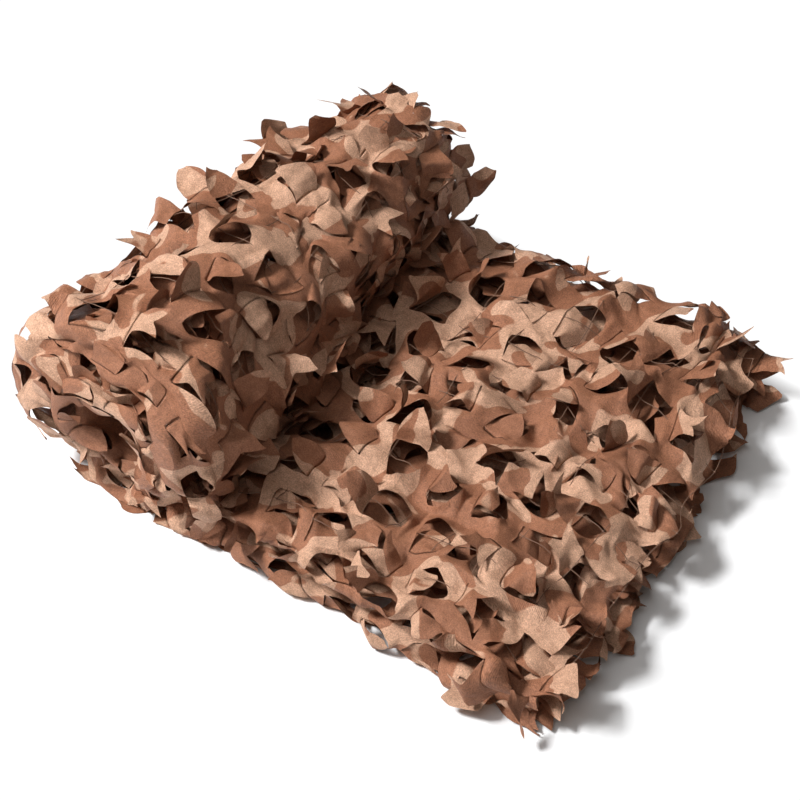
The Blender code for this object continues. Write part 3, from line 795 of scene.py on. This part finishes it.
# ---- Floor, lights and camera
# A pale studio floor that glows plain white to the camera past the net, painted light that hides
# the net's shadow there, one strong light from the left and a wide weak one overhead.
FLOOR = 6.0
floor_mesh = bpy.data.meshes.new("floor")
corners = [(-FLOOR, -FLOOR, 0), (FLOOR, -FLOOR, 0), (FLOOR, FLOOR, 0), (-FLOOR, FLOOR, 0)]
floor_mesh.from_pydata(corners, [], [(0, 1, 2, 3)])
floor = bpy.data.objects.new("floor", floor_mesh)
bpy.context.collection.objects.link(floor)
floor_paint = bpy.data.materials.new("pale floor with painted glow")
floor_paint.use_nodes = True
floor_tree = floor_paint.node_tree
pale = floor_tree.nodes["Principled BSDF"]
pale.inputs["Base Color"].default_value = (0.86, 0.87, 0.88, 1)
pale.inputs["Roughness"].default_value = 0.9

# past a rectangle round the net the floor glows plain white to camera rays, painted light that hides the
# shadow cast there, with a soft change between
PAINTED_GLOW_FROM = (0.365, 0.284)
fit = add_node(floor_tree, "ShaderNodeVectorMath")
fit.operation = "MULTIPLY"
fit.inputs[1].default_value = (1 / PAINTED_GLOW_FROM[0], 1 / PAINTED_GLOW_FROM[1], 0)
fold_in = add_node(floor_tree, "ShaderNodeVectorMath")
fold_in.operation = "ABSOLUTE"
parts = add_node(floor_tree, "ShaderNodeSeparateXYZ", Vector=fold_in.outputs["Vector"])
widest = add_node(floor_tree, "ShaderNodeMath")
widest.operation = "MAXIMUM"
fade = add_node(floor_tree, "ShaderNodeMapRange", Value=widest.outputs["Value"], From_Min=0.97,
                From_Max=1.08, To_Max=0.97)
seen = add_node(floor_tree, "ShaderNodeLightPath")
painted_glow_share = add_node(floor_tree, "ShaderNodeMath")
painted_glow_share.operation = "MULTIPLY"
# the painted glow: an emission seen by the camera only, which paints out the floor's shadow
painted_glow = add_node(floor_tree, "ShaderNodeEmission", Color=(1.0, 1.0, 1.0, 1), Strength=1.05)
both = add_node(floor_tree, "ShaderNodeMixShader", Fac=painted_glow_share.outputs["Value"])
spot = add_node(floor_tree, "ShaderNodeTexCoord")
for source, target in (
    (spot.outputs["Object"], fit.inputs[0]),
    (fit.outputs["Vector"], fold_in.inputs[0]),
    (parts.outputs["X"], widest.inputs[0]),
    (parts.outputs["Y"], widest.inputs[1]),
    (seen.outputs["Is Camera Ray"], painted_glow_share.inputs[0]),
    (fade.outputs["Result"], painted_glow_share.inputs[1]),
    (pale.outputs["BSDF"], both.inputs[1]),
    (painted_glow.outputs["Emission"], both.inputs[2]),
    (both.outputs["Shader"], floor_tree.nodes["Material Output"].inputs["Surface"]),
):
    floor_tree.links.new(source, target)
floor_mesh.materials.append(floor_paint)
floor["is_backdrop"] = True

scene = bpy.context.scene
scene.view_settings.view_transform = "Standard"
if scene.world is None:
    scene.world = bpy.data.worlds.new("studio")
scene.world.use_nodes = True
room = scene.world.node_tree.nodes["Background"]
room.inputs["Color"].default_value = (1.0, 0.90, 0.82, 1)
room.inputs["Strength"].default_value = 0.13


def softbox(name, place, width, power):
    data = bpy.data.lights.new(name, "AREA")
    data.shape = "RECTANGLE"
    data.size = width
    data.size_y = width * 0.7
    data.energy = power
    lamp = bpy.data.objects.new(name, data)
    lamp.location = place
    lamp.rotation_euler = (Vector((0, 0, 0.05)) - Vector(place)).to_track_quat("-Z", "Y").to_euler()
    bpy.context.collection.objects.link(lamp)


softbox("key", place=(-2.00, -1.78, 3.20), width=1.00, power=255)
softbox("sky", place=(-0.20, -1.40, 3.50), width=3.00, power=34)

# the camera looks down at the net from its front right, from far off with a long lens
azimuth, elevation = math.radians(37.10), math.radians(45.73)
distance, focal, sensor = 2.654, 3.171, 36
aim_height, aim_right, aim_up = 0.08, -0.034, -0.0136
level_away = math.cos(elevation)
back_way = Vector((math.sin(azimuth) * level_away, -math.cos(azimuth) * level_away, math.sin(elevation)))
right_way = Vector((math.cos(azimuth), math.sin(azimuth), 0))
up_way = back_way.cross(right_way)
camera = bpy.data.objects.new("camera", bpy.data.cameras.new("camera"))
camera.data.sensor_width = sensor
camera.data.lens = focal * sensor
aim = Vector((0, 0, aim_height)) + right_way * aim_right + up_way * aim_up
camera.location = aim + back_way * distance
camera.rotation_euler = back_way.to_track_quat("Z", "Y").to_euler()
bpy.context.collection.objects.link(camera)
scene.camera = camera
